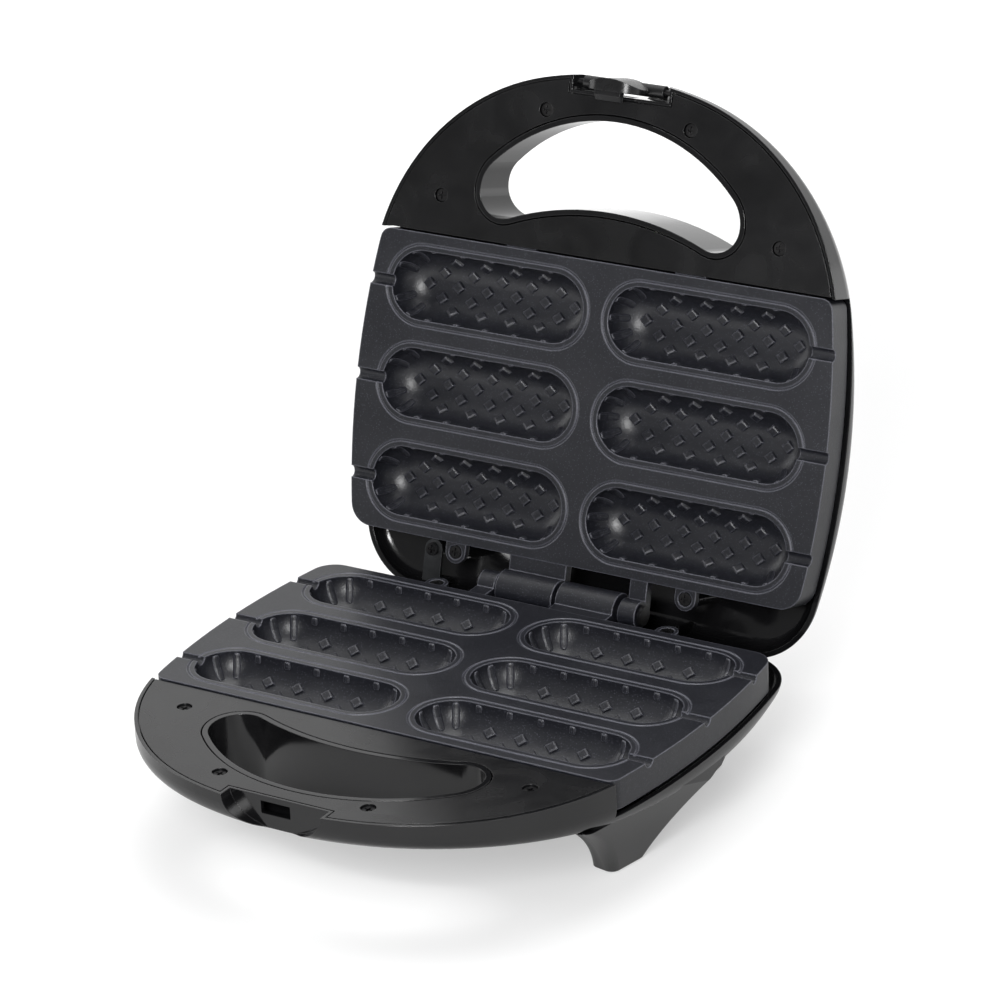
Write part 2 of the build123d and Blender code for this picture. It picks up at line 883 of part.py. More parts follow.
body_form = pod(0)
body_half = half_shell()
legs = leg_pair(0)
leg_hollows = leg_pair(shell_wall)
body_cavity = pod(shell_wall)
plate_lower = cooking_plate(1, -hinge_drop)
plate_upper = cooking_plate(-1, hinge_drop + mating_gap)
cover_form = inner_cover()
shield_form = heat_shield()
heater_form = heater()
thermostat_form = thermostat()
shield_screw_form = shield_screws()
ear_screw_form = ear_screws()
cover_screw_form = cover_screws()
bracket_screw_form = screws([(bracket_x, bracket_y, -bracket_drop)], screw_length, screw_head_height)
lens_left = lamp_lens(-1)
lens_right = lamp_lens(1)

# Base body: the half shell with legs, the cord outlet and the terminal block's seat
with BuildPart() as blades:
    add(legs)
    add(body_cavity, mode=Mode.SUBTRACT)

with BuildPart() as block_seat:
    with Locations((0, block_y, -block_drop - block_size[2])):
        Box(block_size[0], block_size[1], belly_depth, align=(Align.CENTER, Align.CENTER, Align.MAX))
    add(body_form, mode=Mode.INTERSECT)

with BuildPart() as base_shell:
    add(body_half)
    add(blades.part)
    add(leg_hollows, mode=Mode.SUBTRACT)
    add(block_seat.part)
    with Locations((outlet_x, rear_y, -outlet_drop)):
        Cylinder(
            outlet_radius,
            outlet_length,
            rotation=(90, 0, 0),
            align=(Align.CENTER, Align.CENTER, Align.MIN),
        )
        Cylinder(gland_radius + running_gap, 2 * outlet_length, rotation=(90, 0, 0), mode=Mode.SUBTRACT)
    with BuildSketch(*pad_planes(sole_drop)):
        RectangleRounded(pad_size[0] + 2 * pad_gap, pad_size[1] + 2 * pad_gap, pad_corner + pad_gap)
    extrude(amount=pad_sunk, mode=Mode.SUBTRACT)

with BuildPart() as foot_pads:
    with BuildSketch(*pad_planes(mating_height)):
        RectangleRounded(pad_size[0], pad_size[1], pad_corner)
    extrude(amount=mating_height - sole_drop + pad_sunk)

with BuildPart() as base_inner_cover:
    add(cover_form)

with BuildPart() as lower_cooking_plate:
    add(plate_lower)

with BuildPart() as lower_heater:
    add(heater_form)

with BuildPart() as lower_heat_shield:
    add(shield_form)

with BuildPart() as lower_thermostat:
    add(thermostat_form)

with BuildPart() as lower_shield_screws:
    add(shield_screw_form)

with BuildPart() as lower_ear_screws:
    add(ear_screw_form)

with BuildPart() as base_cover_screws:
    add(cover_screw_form)

# Fuse: a small can in its saddle, with a lead from each end
with BuildPart() as thermal_fuse:
    with Locations((fuse_x, cavity_rows_y[0], -fuse_drop)):
        Cylinder(fuse_radius, fuse_length, rotation=(0, 90, 0))
        Cylinder(fuse_lead_radius, fuse_length + 2 * fuse_lead_length, rotation=(0, 90, 0))

# Terminal block: a clamp screw and a wire hole for each pole
with BuildPart() as terminal_block:
    with Locations((0, block_y, -block_drop)):
        Box(*block_size, align=(Align.CENTER, Align.CENTER, Align.MAX))
        with GridLocations(block_pitch, block_pitch, block_poles, 1):
            Cylinder(block_screw_radius, 2 * block_screw_depth, mode=Mode.SUBTRACT)
    with Locations((0, block_y, -block_drop - block_size[2] / 2 - block_screw_radius)):
        with GridLocations(block_pitch, block_pitch, block_poles, 1):
            Cylinder(block_wire_radius, 2 * block_size[1], rotation=(90, 0, 0), mode=Mode.SUBTRACT)

# Cord gland: a flanged bush through the outlet
with BuildPart() as cord_gland:
    with Locations((outlet_x, rear_y + gland_flange_length, -outlet_drop)):
        Cylinder(
            gland_radius,
            gland_flange_length + outlet_length,
            rotation=(90, 0, 0),
            align=(Align.CENTER, Align.CENTER, Align.MIN),
        )
        Cylinder(
            gland_flange_radius,
            gland_flange_length,
            rotation=(90, 0, 0),
            align=(Align.CENTER, Align.CENTER, Align.MIN),
        )
        Cylinder(cord_hole_radius, 2 * rear_y, rotation=(90, 0, 0), mode=Mode.SUBTRACT)

# Hinge pin: a headed pin with a groove for its clip
clip_start = lug_end + clip_gap
pin_end = clip_start + clip_thickness + running_gap + pin_tip
with BuildPart() as hinge_pin:
    with Locations((lug_end + seat_gap, hinge_y, -hinge_drop)):
        Cylinder(
            pin_radius,
            pin_end + lug_end + seat_gap,
            rotation=(0, -90, 0),
            align=(Align.CENTER, Align.CENTER, Align.MIN),
        )
        Cylinder(
            pin_head_radius,
            pin_head_length,
            rotation=(0, -90, 0),
            align=(Align.CENTER, Align.CENTER, Align.MAX),
        )
    with BuildSketch(Plane.YZ.offset(running_gap - clip_start)):
        with Locations((hinge_y, -hinge_drop)):
            Circle(2 * pin_radius)
            Circle(pin_radius - clip_groove_depth, mode=Mode.SUBTRACT)
    extrude(amount=-clip_thickness - 2 * running_gap, mode=Mode.SUBTRACT)

with BuildPart() as hinge_pin_clip:
    with BuildSketch(Plane.YZ.offset(-clip_start)):
        with Locations((hinge_y, -hinge_drop)):
            Circle(clip_radius)
            Circle(pin_radius - clip_groove_depth + running_gap, mode=Mode.SUBTRACT)
            Rectangle(
                2 * (pin_radius - clip_groove_depth),
                clip_radius + overrun,
                align=(Align.CENTER, Align.MAX),
                mode=Mode.SUBTRACT,
            )
    extrude(amount=-clip_thickness)

# Lid body: the half shell with holes for the lamps and the latch pin, and posts inside
with BuildPart() as lid_posts:
    with Locations((bracket_x, bracket_y, -bracket_drop - bracket_thickness)):
        Cylinder(bracket_post_radius, belly_depth, align=(Align.CENTER, Align.CENTER, Align.MAX))
    add(body_form, mode=Mode.INTERSECT)

with BuildPart() as lid_shell:
    add(body_half)
    add(lid_posts.part)
    with Locations((bracket_x, bracket_y, -bracket_drop - bracket_thickness)):
        Cylinder(
            screw_radius + running_gap,
            screw_length,
            align=(Align.CENTER, Align.CENTER, Align.MAX),
            mode=Mode.SUBTRACT,
        )
    with Locations(lamp_plane):
        with Locations([(side * holder_post_x, 0, holder_z) for side in (-1, 1)]):
            Cylinder(
                holder_post_radius,
                -holder_z - shell_wall / 2,
                align=(Align.CENTER, Align.CENTER, Align.MIN),
            )
        with Locations([(side * lamp_spacing / 2, 0, 0) for side in (-1, 1)]):
            Cylinder(lamp_radius + running_gap, 2 * overrun, mode=Mode.SUBTRACT)
    with Locations((0, latch_pivot_y, -latch_pivot_rise)):
        Cylinder(
            latch_pin_radius + running_gap,
            2 * (latch_pin_half_length + running_gap),
            rotation=(0, 90, 0),
            mode=Mode.SUBTRACT,
        )

with BuildPart() as lid_inner_cover:
    add(cover_form)

with BuildPart() as upper_cooking_plate:
    add(plate_upper)

with BuildPart() as upper_heater:
    add(heater_form)

with BuildPart() as upper_heat_shield:
    add(shield_form)

with BuildPart() as upper_thermostat:
    add(thermostat_form)

with BuildPart() as upper_shield_screws:
    add(shield_screw_form)

with BuildPart() as upper_ear_screws:
    add(ear_screw_form)

with BuildPart() as lid_cover_screws:
    add(cover_screw_form)

# Bracket for the leads: an eye on its post, a strip to the rear and a flap down into the bay
with BuildPart() as lead_bracket:
    with BuildSketch(Plane.XY.offset(-bracket_drop)):
        with Locations((bracket_x, bracket_y)):
            Circle(bracket_radius)
            Rectangle(2 * bracket_radius, bracket_reach, align=(Align.CENTER, Align.MIN))
            Circle(screw_radius + screw_hole_gap, mode=Mode.SUBTRACT)
    extrude(amount=-bracket_thickness)
    with Locations((bracket_x, bracket_y + bracket_reach, -bracket_drop)):
        Box(
            2 * bracket_radius,
            bracket_thickness,
            bracket_flap,
            align=(Align.CENTER, Align.MAX, Align.MAX),
        )

with BuildPart() as bracket_screw:
    add(bracket_screw_form)

# Lamps: two lenses that look out of the lid, in one holder behind it
with BuildPart() as power_lamp_lens:
    add(lens_left)

with BuildPart() as ready_lamp_lens:
    add(lens_right)

with BuildPart() as lamp_holder:
    with Locations(lamp_plane):
        with Locations((0, 0, holder_z)):
            Box(*holder_size, align=(Align.CENTER, Align.CENTER, Align.MAX))
        with Locations([(side * lamp_spacing / 2, 0, holder_z) for side in (-1, 1)]):
            Cylinder(lamp_radius + running_gap, 2 * holder_size[2] + overrun, mode=Mode.SUBTRACT)

with BuildPart() as latch_pin:
    with Locations((0, latch_pivot_y, -latch_pivot_rise)):
        Cylinder(latch_pin_radius, 2 * latch_pin_half_length, rotation=(0, 90, 0))

# Latch clip, drawn where it is when the halves are shut: a D-shaped tongue that reaches down over
# the base's recess, a bar along its pivot and a tooth that enters the base's catch pocket
latch_pivot_z = mating_gap + latch_pivot_rise
clip_top_z = mating_gap + clip_top_rise
with BuildPart() as latch_clip:
    with BuildSketch(Plane.XY.offset(-clip_reach)):
        with BuildLine():
            Line((-clip_half_width, clip_side_y), (-clip_half_width, clip_back_y))
            Line((-clip_half_width, clip_back_y), (clip_half_width, clip_back_y))
            Line((clip_half_width, clip_back_y), (clip_half_width, clip_side_y))
            ThreePointArc((clip_half_width, clip_side_y), (0, clip_front_y), (-clip_half_width, clip_side_y))
        make_face()
    extrude(amount=clip_reach + clip_top_z)
    with BuildSketch(Plane.XZ.offset(-clip_back_y)) as face:
        with Locations((0, -clip_reach)):
            Rectangle(2 * clip_half_width, clip_reach + clip_top_z, align=(Align.CENTER, Align.MIN))
        fillet(face.vertices().group_by(Axis.Z)[0], clip_corner)
    extrude(amount=clip_back_y - clip_front_y, mode=Mode.INTERSECT)
    with Locations((0, latch_pivot_y, latch_pivot_z)):
        Cylinder(latch_bar_radius, 2 * latch_bar_half_length, rotation=(0, 90, 0))
        Cylinder(
            latch_pin_radius + running_gap,
            2 * recess_half_width,
            rotation=(0, 90, 0),
            mode=Mode.SUBTRACT,
        )
    with BuildSketch(Plane.YZ.offset(catch_x - tooth_width / 2)):
        with BuildLine():
            Polyline(
                (clip_side_y, -tooth_drop),
                (tooth_tip_y, -tooth_drop),
                (tooth_tip_y, -tooth_drop - tooth_tip_thickness),
                (tooth_tip_y - tooth_nose, -tooth_drop - tooth_thickness),
                (clip_side_y, -tooth_drop - tooth_thickness),
                close=True,
            )
        make_face()
    extrude(amount=tooth_width)

base_pieces = {
    "base_shell": base_shell,
    "foot_pads": foot_pads,
    "base_inner_cover": base_inner_cover,
    "lower_cooking_plate": lower_cooking_plate,
    "lower_heater": lower_heater,
    "lower_heat_shield": lower_heat_shield,
    "lower_thermostat": lower_thermostat,
    "lower_shield_screws": lower_shield_screws,
    "lower_ear_screws": lower_ear_screws,
    "base_cover_screws": base_cover_screws,
    "thermal_fuse": thermal_fuse,
    "terminal_block": terminal_block,
    "cord_gland": cord_gland,
    "hinge_pin": hinge_pin,
    "hinge_pin_clip": hinge_pin_clip,
}
lid_pieces = {
    "lid_shell": lid_shell,
    "lid_inner_cover": lid_inner_cover,
    "upper_cooking_plate": upper_cooking_plate,
    "upper_heater": upper_heater,
    "upper_heat_shield": upper_heat_shield,
    "upper_thermostat": upper_thermostat,
    "upper_shield_screws": upper_shield_screws,
    "upper_ear_screws": upper_ear_screws,
    "lid_cover_screws": lid_cover_screws,
    "lead_bracket": lead_bracket,
    "bracket_screw": bracket_screw,
    "power_lamp_lens": power_lamp_lens,
    "ready_lamp_lens": ready_lamp_lens,
    "lamp_holder": lamp_holder,
    "latch_pin": latch_pin,
}

# Resting frame: the lid is mirrored above the base and swung open about the hinge, then all
# pieces move so that the origin is the middle of the outline on the table
hinge_place = Location((0, hinge_y, -hinge_drop))
swing = hinge_place * Location((0, 0, 0), (-open_angle, 0, 0)) * hinge_place.inverse()
mid_gap = Plane.XY.offset(mating_gap / 2)
for piece in lid_pieces.values():
    piece.part = piece.part.mirror(mid_gap).moved(swing)
latch_clip.part = latch_clip.part.moved(swing)
outline = Compound([base_shell.part, lid_shell.part]).bounding_box()
rest = Location((0, -outline.center().Y, mating_height))

os.makedirs("parts", exist_ok=True)
for label, piece in {**base_pieces, **lid_pieces, "latch_clip": latch_clip}.items():
    piece.part = piece.part.moved(rest)
    piece.part.label = label
    export_step(piece.part, f"parts/{label}.step")
print(f"hinge axis at y = {hinge_y - outline.center().Y:.3f}, z = {mating_height - hinge_drop:.3f}")
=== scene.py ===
"""Looks of a hot dog toaster with six cavities, standing open on a pale floor.

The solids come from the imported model. This file gives each one its finish, adds the fine
relief of the castings, and sets the camera and the studio light.
"""
import math

import bmesh
import bpy
from mathutils import Matrix, Vector


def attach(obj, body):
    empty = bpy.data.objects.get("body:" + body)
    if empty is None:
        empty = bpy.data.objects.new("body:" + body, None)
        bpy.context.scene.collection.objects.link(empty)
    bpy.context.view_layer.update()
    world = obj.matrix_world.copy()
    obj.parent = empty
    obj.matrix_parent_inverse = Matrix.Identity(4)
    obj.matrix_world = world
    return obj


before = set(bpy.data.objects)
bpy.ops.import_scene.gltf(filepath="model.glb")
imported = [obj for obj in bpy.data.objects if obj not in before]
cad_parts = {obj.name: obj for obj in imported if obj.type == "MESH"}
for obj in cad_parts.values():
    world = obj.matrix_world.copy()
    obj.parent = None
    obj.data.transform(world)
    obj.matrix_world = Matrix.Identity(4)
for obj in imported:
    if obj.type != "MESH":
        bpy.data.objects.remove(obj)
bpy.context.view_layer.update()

mm = 0.001

# Base shell: one deep moulding in black heat-proof plastic, with its handle, four blade legs
# and the pocket that catches the clip. It leaves a polished mould, so it shines like lacquer.
shell_face = "0b0b0c"
shell_worn = "2a2a2c"
shell_roughness = 0.1
shell_flow = 38 * mm
shell_smudge = 17 * mm
shell_ripple = 26 * mm
shell_ripple_height = 0.05 * mm
shell_edge = 0.45 * mm
shell_smear = 0.05
polyamide_ior = 1.53
edge_mask_starts = 0.995
edge_mask_full = 0.8


def linear(colour):
    """The linear value of an sRGB colour in hex, with an alpha of 1."""
    channels = [int(colour[start : start + 2], 16) / 255 for start in (0, 2, 4)]
    return [c / 12.92 if c <= 0.04045 else ((c + 0.055) / 1.055) ** 2.4 for c in channels] + [1]


def add_node(tree, kind, inputs=(), **settings):
    """Adds a node, sets it up, and links or fills the inputs that are given."""
    node = tree.nodes.new(kind)
    for name, value in settings.items():
        setattr(node, name, value)
    for socket, value in dict(inputs).items():
        if isinstance(value, bpy.types.NodeSocket):
            tree.links.new(value, node.inputs[socket])
        else:
            node.inputs[socket].default_value = value
    return node


def start_material(name):
    """A new material, its node tree, its shader, and the piece's own coordinates in metres."""
    material = bpy.data.materials.new(name)
    material.use_nodes = True
    tree = material.node_tree
    place = add_node(tree, "ShaderNodeTexCoord").outputs["Object"]
    return material, tree, tree.nodes["Principled BSDF"], place


# The edge mask gives rubbed wear on the plastics and metals, and a painted highlight on the cooking plates'
# coat.
def edge_wear_and_highlight(tree, radius):
    """A normal that rounds sharp edges by radius, and a mask that is 1 along those edges."""
    rounded = add_node(tree, "ShaderNodeBevel", {"Radius": radius}, samples=4).outputs["Normal"]
    true_normal = add_node(tree, "ShaderNodeNewGeometry").outputs["Normal"]
    turn = add_node(
        tree, "ShaderNodeVectorMath", {0: rounded, 1: true_normal}, operation="DOT_PRODUCT"
    ).outputs["Value"]
    mask = add_node(
        tree, "ShaderNodeMapRange", {"Value": turn, "From Min": edge_mask_starts, "From Max": edge_mask_full}
    ).outputs["Result"]
    return rounded, mask


def skin(tree, shader, colour, gloss, relief):
    """Links the nodes that give a surface its colour, its gloss and its relief."""
    tree.links.new(colour.outputs["Result"], shader.inputs["Base Color"])
    tree.links.new(gloss.outputs["Result"], shader.inputs["Roughness"])
    tree.links.new(relief.outputs["Normal"], shader.inputs["Normal"])


def moulded(name, face, worn, roughness, flow, smudge, grain, grain_height, edge, smear=0.12):
    """Moulded plastic: faint flow clouds, wiped patches, a surface grain and rubbed edges."""
    material, tree, shader, place = start_material(name)
    rounded, mask = edge_wear_and_highlight(tree, edge)
    cloud = add_node(tree, "ShaderNodeTexNoise", {"Vector": place, "Scale": 1 / flow, "Detail": 4})
    wiped = add_node(
        tree, "ShaderNodeTexNoise", {"Vector": place, "Scale": 1 / smudge, "Detail": 6, "Distortion": 1.2}
    )
    fine = add_node(tree, "ShaderNodeTexNoise", {"Vector": place, "Scale": 1 / grain, "Detail": 3})
    rub = add_node(
        tree, "ShaderNodeMath", {0: mask, 1: wiped.outputs["Fac"]}, operation="MULTIPLY"
    ).outputs["Value"]
    tint = add_node(
        tree,
        "ShaderNodeMapRange",
        {"Value": cloud.outputs["Fac"], "From Min": 0.35, "From Max": 0.75, "To Max": 0.18},
    ).outputs["Result"]
    share = add_node(tree, "ShaderNodeMath", {0: rub, 1: tint}, operation="ADD", use_clamp=True)
    colour = add_node(
        tree,
        "ShaderNodeMix",
        {"Factor": share.outputs["Value"], "A": linear(face), "B": linear(worn)},
        data_type="RGBA",
    )
    gloss = add_node(
        tree,
        "ShaderNodeMapRange",
        {
            "Value": wiped.outputs["Fac"],
            "From Min": 0.3,
            "From Max": 0.75,
            "To Min": roughness,
            "To Max": roughness + smear,
        },
    )
    bump = add_node(
        tree,
        "ShaderNodeBump",
        {"Height": fine.outputs["Fac"], "Distance": grain_height, "Normal": rounded},
    )
    skin(tree, shader, colour, gloss, bump)
    return material


def dress(material, *names):
    """Gives every slot of these solids the material."""
    for name in names:
        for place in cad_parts[name].material_slots:
            place.material = material


gloss_shell = moulded(
    "polished_moulded_polyamide",
    face=shell_face,
    worn=shell_worn,
    roughness=shell_roughness,
    flow=shell_flow,
    smudge=shell_smudge,
    grain=shell_ripple,
    grain_height=shell_ripple_height,
    edge=shell_edge,
    smear=shell_smear,
)
gloss_shell.node_tree.nodes["Principled BSDF"].inputs["IOR"].default_value = polyamide_ior
dress(gloss_shell, "base_shell")

# Base inner cover: a flat moulded plate round the grip opening, held by four screws. Its
# mould was finely blasted, so it has a soft sheen with a grain of about half a millimetre.
satin_cover = moulded(
    "blasted_moulded_polyamide",
    face="0b0b0c",
    worn="2a2a2c",
    roughness=0.2,
    flow=45 * mm,
    smudge=22 * mm,
    grain=0.55 * mm,
    grain_height=0.012 * mm,
    edge=0.35 * mm,
)
dress(satin_cover, "base_inner_cover", "lid_inner_cover")

# Foot pads: grey-black silicone rubber set in the soles of the legs, dull and a little dusty
# where they touch the table.
silicone_ior = 1.41
pad_rubber = moulded(
    "moulded_silicone_rubber",
    face="1b1b1c",
    worn="4a4844",
    roughness=0.62,
    flow=6 * mm,
    smudge=4 * mm,
    grain=0.8 * mm,
    grain_height=0.03 * mm,
    edge=0.4 * mm,
)
pad_rubber.node_tree.nodes["Principled BSDF"].inputs["IOR"].default_value = silicone_ior
dress(pad_rubber, "foot_pads")

# Cooking plates: die-cast aluminium, blasted and sprayed with a grey-black non-stick coat.
# The coat keeps the grit of the blasting, which gives a fine sparkle on a satin skin. The real
# grit is about 0.15 mm, and is drawn here at 0.6 mm so that it shows.
coat_dark = "101116"
coat_light = "191a20"
coat_fleck_colour = "54555f"
# The coat's edges are painted lighter in a pale grey: a painted highlight along every rim, diamond and rib,
# standing in for the bright lines that light draws on them.
coat_edge_highlight_colour = "80818c"
coat_edge_highlight_share = 0.65
coat_edge = 0.9 * mm
coat_grit = 0.6 * mm
coat_grit_height = 0.08 * mm
coat_fleck = 0.9 * mm
coat_cloud = 24 * mm
coat_roughness = (0.33, 0.41)
coat, tree, shader, place = start_material("sprayed_nonstick_on_blasted_casting")
rounded, mask = edge_wear_and_highlight(tree, coat_edge)
grit = add_node(tree, "ShaderNodeTexNoise", {"Vector": place, "Scale": 1 / coat_grit, "Detail": 2})
fleck = add_node(tree, "ShaderNodeTexVoronoi", {"Vector": place, "Scale": 1 / coat_fleck})
cloud = add_node(
    tree, "ShaderNodeTexNoise", {"Vector": place, "Scale": 1 / coat_cloud, "Detail": 5, "Distortion": 0.6}
)
bright_fleck = add_node(
    tree,
    "ShaderNodeMapRange",
    {"Value": fleck.outputs["Distance"], "From Min": 0.24, "From Max": 0.08, "To Max": 0.7},
)
ground = add_node(
    tree,
    "ShaderNodeMix",
    {"Factor": cloud.outputs["Fac"], "A": linear(coat_dark), "B": linear(coat_light)},
    data_type="RGBA",
)
flecked = add_node(
    tree,
    "ShaderNodeMix",
    {
        "Factor": bright_fleck.outputs["Result"],
        "A": ground.outputs["Result"],
        "B": linear(coat_fleck_colour),
    },
    data_type="RGBA",
)
# Painted highlight: the edge mask lightens the coat along every edge.
painted_edge_highlight = add_node(tree, "ShaderNodeMath", {0: mask, 1: coat_edge_highlight_share}, operation="MULTIPLY")
edge_highlighted = add_node(
    tree,
    "ShaderNodeMix",
    {
        "Factor": painted_edge_highlight.outputs["Value"],
        "A": flecked.outputs["Result"],
        "B": linear(coat_edge_highlight_colour),
    },
    data_type="RGBA",
)
gloss = add_node(
    tree,
    "ShaderNodeMapRange",
    {
        "Value": cloud.outputs["Fac"],
        "From Min": 0.3,
        "From Max": 0.7,
        "To Min": coat_roughness[0],
        "To Max": coat_roughness[1],
    },
)
bump = add_node(
    tree,
    "ShaderNodeBump",
    {"Height": grit.outputs["Fac"], "Distance": coat_grit_height, "Normal": rounded},
)
skin(tree, shader, edge_highlighted, gloss, bump)
dress(coat, "lower_cooking_plate", "upper_cooking_plate")

# Relief of the cavities: cast with each plate. Flat-topped diamonds stand on the trough's wall
# in five staggered rows, smooth ribs run down from the lip round both ends, and a short nib
# sits on the lip above each gap between two diamonds.
cavity_x = 52.3 * mm
cavity_rows_y = (-21.6 * mm, -63.4 * mm, -104.4 * mm)
cavity_half_width = 14.5 * mm
cavity_half_length = 46.35 * mm
cavity_depth = 13 * mm
cavity_rounding = 12.5 * mm
stud_pitch = 14.2 * mm
stud_row_step = 5.6 * mm
stud_half_length = 3.8 * mm
stud_half_width = 3.5 * mm
stud_taper = 0.7
stud_height = 1.25 * mm
stud_sink = 0.6 * mm
stud_edge = 0.4 * mm
stud_rows = (-2, -1, 0, 1, 2)
middle_row_studs = 6
rib_length = 11 * mm
rib_width = 3.5 * mm
rib_height = 0.85 * mm
rib_middle = 15.7 * mm
outer_rib_angles = (-65, -30, 30, 65)
inner_rib_angles = (-64, -32, 0, 32, 64)
nib_length = 3.4 * mm
nib_width = 3 * mm
nib_height = 0.8 * mm
nib_middle = 19.7 * mm
nib_places = (-2, -1, 0, 1, 2)
mating_height = 54.5 * mm
plate_rear = 56.204 * mm
mating_gap = 0.4 * mm
hinge_axis = Vector((0, 69.704 * mm, 52.9 * mm))
opening = math.radians(-106.3)


def on_wall(travel):
    """Seat on a trough's wall, travel up from the middle line of its floor towards +X.

    The columns are the direction across, the direction up the wall, and the normal.
    """
    flat = cavity_half_width - cavity_rounding
    turn = max(0, travel - flat) / cavity_rounding
    out = min(travel, flat) + cavity_rounding * math.sin(turn)
    depth = cavity_depth - cavity_rounding * (1 - math.cos(turn))
    up = Vector((math.cos(turn), 0, math.sin(turn)))
    normal = Vector((-math.sin(turn), 0, math.cos(turn)))
    seat = Matrix((up.cross(normal), up, normal)).transposed().to_4x4()
    return Matrix.Translation((out, 0, -depth)) @ seat


def keep(mesh, name):
    """Turns the work mesh into a mesh of its own with its faces outwards."""
    bmesh.ops.recalc_face_normals(mesh, faces=mesh.faces)
    data = bpy.data.meshes.new(name)
    mesh.to_mesh(data)
    mesh.free()
    return data


def stud(travel):
    """One diamond that stands on the wall."""
    mesh = bmesh.new()
    bmesh.ops.create_cone(
        mesh,
        cap_ends=True,
        segments=4,
        radius1=1,
        radius2=stud_taper,
        depth=stud_height + stud_sink,
        matrix=Matrix.Translation((0, 0, (stud_height - stud_sink) / 2)),
    )
    bmesh.ops.scale(mesh, vec=(stud_half_length, stud_half_width, 1), verts=mesh.verts)
    bmesh.ops.bevel(
        mesh,
        geom=[edge for edge in mesh.edges if max(vert.co.z for vert in edge.verts) > 0],
        offset=stud_edge,
        segments=2,
        profile=0.5,
        affect="EDGES",
        material=-1,
    )
    bmesh.ops.transform(mesh, matrix=on_wall(travel), verts=mesh.verts)
    return keep(mesh, "stud")


def ridge(middle, length, width, height):
    """A smooth ridge with round ends that runs up the wall."""
    mesh = bmesh.new()
    bmesh.ops.create_uvsphere(mesh, u_segments=10, v_segments=8, radius=1)
    for vert in mesh.verts:
        x, y, z = vert.co
        swell = max(math.hypot(x, y), 0.001) ** -0.5
        travel = middle + math.copysign(abs(z) ** 0.5, z) * length / 2
        vert.co = on_wall(travel) @ Vector((x * swell * width / 2, 0, y * swell * height))
    return keep(mesh, "ridge")


def cavity_relief(name, placing):
    """The diamonds, ribs and nibs of one plate's six cavities, moved by placing."""
    studs = [stud(row * stud_row_step) for row in stud_rows if row >= 0]
    rib = ridge(rib_middle, rib_length, rib_width, rib_height)
    nib = ridge(nib_middle, nib_length, nib_width, nib_height)
    stamps = []
    for row in stud_rows:
        count = middle_row_studs - abs(row)
        first_x = -(count - 1) / 2 * stud_pitch
        turn = 90 if row >= 0 else -90
        stamps += [(studs[abs(row)], first_x + index * stud_pitch, turn) for index in range(count)]
    stamps += [(nib, index * stud_pitch, turn) for index in nib_places for turn in (-90, 90)]
    middle_half = cavity_half_length - cavity_half_width
    stamps += [(rib, middle_half, angle) for angle in outer_rib_angles]
    stamps += [(rib, -middle_half, 180 + angle) for angle in inner_rib_angles]
    mesh = bmesh.new()
    for side in (-1, 1):
        for row_y in cavity_rows_y:
            for form, x, angle in stamps:
                turned = Matrix.Rotation(math.radians(angle if side > 0 else 180 - angle), 4, "Z")
                seat = placing @ Matrix.Translation((side * (cavity_x + x), row_y, 0)) @ turned
                form.transform(seat)
                mesh.from_mesh(form)
                form.transform(seat.inverted())
    data = keep(mesh, name)
    piece = bpy.data.objects.new(name, data)
    bpy.context.scene.collection.objects.link(piece)
    data.materials.append(coat)
    return piece


on_base = Matrix.Translation((0, plate_rear, mating_height))
facing = Matrix.Translation((0, 0, mating_gap)) @ Matrix.Scale(-1, 4, (0, 0, 1))
to_hinge = Matrix.Translation(-hinge_axis)
swing = to_hinge.inverted() @ Matrix.Rotation(opening, 4, "X") @ to_hinge
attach(cavity_relief("lower_cavity_relief", on_base), "base")
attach(cavity_relief("upper_cavity_relief", swing @ on_base @ facing), "lid")

# Heating elements: a wire packed in a steel sheath, bent cold and heated, so the drawn steel
# is browned and slightly streaked along its length. It lies in saddles under the cavities.
metal_edge = 0.2 * mm
metal_stain = 9 * mm
metal_streak_height = 0.01 * mm
metal_streak_share = 0.08


def drawn_metal(name, face, stained, roughness, grain, metallic=1.0):
    """Rolled or drawn metal with fine streaks, cloudy stains and bright worn edges."""
    material, tree, shader, place = start_material(name)
    rounded, mask = edge_wear_and_highlight(tree, metal_edge)
    stretched = add_node(
        tree, "ShaderNodeMapping", {"Vector": place, "Scale": (1, metal_streak_share, 1)}
    )
    streak = add_node(
        tree, "ShaderNodeTexNoise", {"Vector": stretched.outputs["Vector"], "Scale": 1 / grain, "Detail": 3}
    )
    stain = add_node(tree, "ShaderNodeTexNoise", {"Vector": place, "Scale": 1 / metal_stain, "Detail": 5})
    share = add_node(
        tree,
        "ShaderNodeMapRange",
        {"Value": stain.outputs["Fac"], "From Min": 0.4, "From Max": 0.65, "To Max": 0.7},
    )
    clean = add_node(
        tree, "ShaderNodeMath", {0: share.outputs["Result"], 1: mask}, operation="SUBTRACT", use_clamp=True
    )
    colour = add_node(
        tree,
        "ShaderNodeMix",
        {"Factor": clean.outputs["Value"], "A": linear(face), "B": linear(stained)},
        data_type="RGBA",
    )
    gloss = add_node(
        tree,
        "ShaderNodeMapRange",
        {"Value": streak.outputs["Fac"], "To Min": roughness - 0.08, "To Max": roughness + 0.1},
    )
    bump = add_node(
        tree,
        "ShaderNodeBump",
        {"Height": streak.outputs["Fac"], "Distance": metal_streak_height, "Normal": rounded},
    )
    shader.inputs["Metallic"].default_value = metallic
    skin(tree, shader, colour, gloss, bump)
    return material


sheath_steel = drawn_metal("drawn_heater_sheath_steel", "8a7f72", "5d4a3a", 0.42, 0.4 * mm)
dress(sheath_steel, "lower_heater", "upper_heater")

